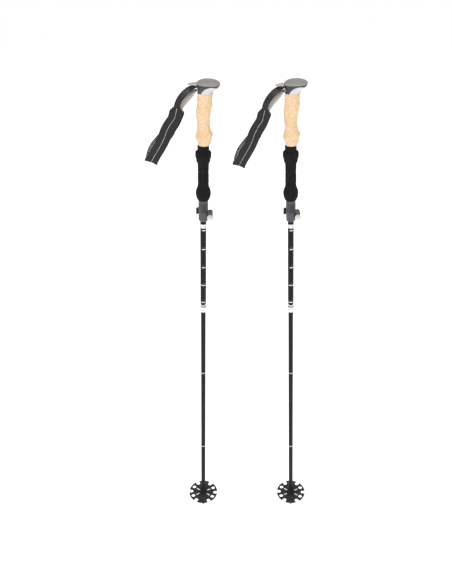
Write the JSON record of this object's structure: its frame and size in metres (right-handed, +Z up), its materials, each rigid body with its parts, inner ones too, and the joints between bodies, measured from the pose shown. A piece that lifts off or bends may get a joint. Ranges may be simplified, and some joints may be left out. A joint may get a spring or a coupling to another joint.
{
  "type": "trekking poles",
  "caption": "Pair of folding trekking poles with cork grips, foam extensions, wrist straps, lever length clamps, cord-tensioned folding sections, snow baskets and carbide tips.",
  "frame": {"origin": "centre of the bounding box at the level of the tips", "axes": "+Z up along the poles, +X to the right, +Y to the back, the strap side of each grip towards -X"},
  "size_m": [0.3996, 0.085, 1.3069],
  "materials": {
    "cork_grip": "matt cork with dark flecks",
    "foam_grip": "closed-cell foam",
    "upper_tube": "anodised",
    "head_core": "moulded",
    "head_trim": "silver moulded",
    "head_pad": "soft rubber",
    "strap_wedge": "moulded",
    "strap_pin": "plain",
    "clamp_collar": "moulded",
    "clamp_bushing": "moulded",
    "clamp_bolt": "plain",
    "lever_pin": "plain",
    "wrist_strap": "woven webbing with padded lining",
    "clamp_lever": "moulded",
    "clamp_knob": "knurled",
    "graduated_tube": "satin dark coat",
    "tube_plug": "moulded",
    "end_collar": "white",
    "top_section": "satin dark coat",
    "release_button": "plain",
    "cord_a": "coated cord",
    "spigot_a": "anodised",
    "middle_section": "satin dark coat",
    "cord_b": "coated cord",
    "spigot_b": "anodised",
    "bottom_section": "satin dark coat",
    "tip_holder": "moulded",
    "carbide_tip": "hard metal",
    "snow_basket": "moulded"
  },
  "bodies": {
    "left_handle": {"left_cork_grip": "cork_grip", "left_foam_grip": "foam_grip", "left_upper_tube": "upper_tube", "left_head_core": "head_core", "left_head_trim": "head_trim", "left_head_pad": "head_pad", "left_strap_wedge": "strap_wedge", "left_strap_pin": "strap_pin", "left_clamp_collar": "clamp_collar", "left_clamp_bushing": "clamp_bushing", "left_clamp_bolt": "clamp_bolt", "left_lever_pin": "lever_pin"},
    "left_strap": {"left_wrist_strap": "wrist_strap"},
    "left_lever": {"left_clamp_lever": "clamp_lever"},
    "left_knob": {"left_clamp_knob": "clamp_knob"},
    "left_shaft": {"left_graduated_tube": "graduated_tube", "left_tube_plug": "tube_plug", "left_end_collar": "end_collar", "left_top_section": "top_section"},
    "left_button": {"left_release_button": "release_button"},
    "left_link_a": {"left_cord_a": "cord_a"},
    "left_section_b": {"left_spigot_a": "spigot_a", "left_middle_section": "middle_section"},
    "left_link_b": {"left_cord_b": "cord_b"},
    "left_section_c": {"left_spigot_b": "spigot_b", "left_bottom_section": "bottom_section", "left_tip_holder": "tip_holder", "left_carbide_tip": "carbide_tip"},
    "left_basket": {"left_snow_basket": "snow_basket"},
    "right_handle": {"right_cork_grip": "cork_grip", "right_foam_grip": "foam_grip", "right_upper_tube": "upper_tube", "right_head_core": "head_core", "right_head_trim": "head_trim", "right_head_pad": "head_pad", "right_strap_wedge": "strap_wedge", "right_strap_pin": "strap_pin", "right_clamp_collar": "clamp_collar", "right_clamp_bushing": "clamp_bushing", "right_clamp_bolt": "clamp_bolt", "right_lever_pin": "lever_pin"},
    "right_strap": {"right_wrist_strap": "wrist_strap"},
    "right_lever": {"right_clamp_lever": "clamp_lever"},
    "right_knob": {"right_clamp_knob": "clamp_knob"},
    "right_shaft": {"right_graduated_tube": "graduated_tube", "right_tube_plug": "tube_plug", "right_end_collar": "end_collar", "right_top_section": "top_section"},
    "right_button": {"right_release_button": "release_button"},
    "right_link_a": {"right_cord_a": "cord_a"},
    "right_section_b": {"right_spigot_a": "spigot_a", "right_middle_section": "middle_section"},
    "right_link_b": {"right_cord_b": "cord_b"},
    "right_section_c": {"right_spigot_b": "spigot_b", "right_bottom_section": "bottom_section", "right_tip_holder": "tip_holder", "right_carbide_tip": "carbide_tip"},
    "right_basket": {"right_snow_basket": "snow_basket"}
  },
  "joints": [
    {"name": "left_length_adjust", "type": "slide", "parent": "left_handle", "child": "left_shaft", "axis": [0.0358, 0, 0.9994], "range_m": [-0.04, 0.2]},
    {"name": "left_lever_open", "type": "hinge", "parent": "left_handle", "child": "left_lever", "pos_m": [-0.06145, 0.0112, 0.99685], "axis": [-0.0358, 0, -0.9994], "range_deg": [0, 130]},
    {"name": "left_knob_turn", "type": "hinge", "parent": "left_handle", "child": "left_knob", "pos_m": [-0.06145, -0.01, 0.99685], "axis": [0, -1, 0], "continuous": true},
    {"name": "left_strap_swing", "type": "hinge", "parent": "left_handle", "child": "left_strap", "pos_m": [-0.07755, 0, 1.28711], "axis": [0, 1, 0], "range_deg": [-10, 6]},
    {"name": "left_button_press", "type": "slide", "parent": "left_shaft", "child": "left_button", "axis": [0, -1, 0], "range_m": [0, 0.0024], "stiffness_N_per_m": 800, "springref_m": -0.001},
    {"name": "left_fold_a", "type": "hinge", "parent": "left_shaft", "child": "left_link_a", "pos_m": [-0.09357, 0.01, 0.5337], "axis": [0.9994, 0, -0.0358], "range_deg": [0, 165], "deforming": ["left_cord_a"]},
    {"name": "left_pull_a", "type": "slide", "parent": "left_link_a", "child": "left_section_b", "axis": [-0.0358, 0, -0.9994], "range_m": [0, 0.02]},
    {"name": "left_fold_b", "type": "hinge", "parent": "left_section_b", "child": "left_link_b", "pos_m": [-0.10339, -0.01, 0.25988], "axis": [-0.9994, 0, 0.0358], "range_deg": [0, 165], "deforming": ["left_cord_b"]},
    {"name": "left_pull_b", "type": "slide", "parent": "left_link_b", "child": "left_section_c", "axis": [-0.0358, 0, -0.9994], "range_m": [0, 0.02]},
    {"name": "left_basket_off", "type": "slide", "parent": "left_section_c", "child": "left_basket", "axis": [-0.0358, 0, -0.9994], "range_m": [0, 0.075]},
    {"name": "right_length_adjust", "type": "slide", "parent": "right_handle", "child": "right_shaft", "axis": [-0.0358, 0, 0.9994], "range_m": [-0.04, 0.2]},
    {"name": "right_lever_open", "type": "hinge", "parent": "right_handle", "child": "right_lever", "pos_m": [0.13922, 0.0112, 0.99796], "axis": [0.0358, 0, -0.9994], "range_deg": [0, 130]},
    {"name": "right_knob_turn", "type": "hinge", "parent": "right_handle", "child": "right_knob", "pos_m": [0.13922, -0.01, 0.99796], "axis": [0, -1, 0], "continuous": true},
    {"name": "right_strap_swing", "type": "hinge", "parent": "right_handle", "child": "right_strap", "pos_m": [0.10236, 0, 1.28632], "axis": [0, 1, 0], "range_deg": [-10, 6]},
    {"name": "right_button_press", "type": "slide", "parent": "right_shaft", "child": "right_button", "axis": [0, -1, 0], "range_m": [0, 0.0024], "stiffness_N_per_m": 800, "springref_m": -0.001},
    {"name": "right_fold_a", "type": "hinge", "parent": "right_shaft", "child": "right_link_a", "pos_m": [0.14036, 0.01, 0.5337], "axis": [0.9994, 0, 0.0358], "range_deg": [0, 165], "deforming": ["right_cord_a"]},
    {"name": "right_pull_a", "type": "slide", "parent": "right_link_a", "child": "right_section_b", "axis": [0.0358, 0, -0.9994], "range_m": [0, 0.02]},
    {"name": "right_fold_b", "type": "hinge", "parent": "right_section_b", "child": "right_link_b", "pos_m": [0.15018, -0.01, 0.25988], "axis": [-0.9994, 0, -0.0358], "range_deg": [0, 165], "deforming": ["right_cord_b"]},
    {"name": "right_pull_b", "type": "slide", "parent": "right_link_b", "child": "right_section_c", "axis": [0.0358, 0, -0.9994], "range_m": [0, 0.02]},
    {"name": "right_basket_off", "type": "slide", "parent": "right_section_c", "child": "right_basket", "axis": [0.0358, 0, -0.9994], "range_m": [0, 0.075]},
    {"name": "right_pole_apart", "type": "slide", "parent": "left_handle", "child": "right_handle", "axis": [1, 0, 0], "range_m": [0, 0.4]}
  ],
  "couplings": [
    {"joint": "left_pull_a", "follows": "left_fold_a", "m_per_rad": 0.0069442},
    {"joint": "left_pull_b", "follows": "left_fold_b", "m_per_rad": 0.0069442},
    {"joint": "right_pull_a", "follows": "right_fold_a", "m_per_rad": 0.0069442},
    {"joint": "right_pull_b", "follows": "right_fold_b", "m_per_rad": 0.0069442}
  ]
}
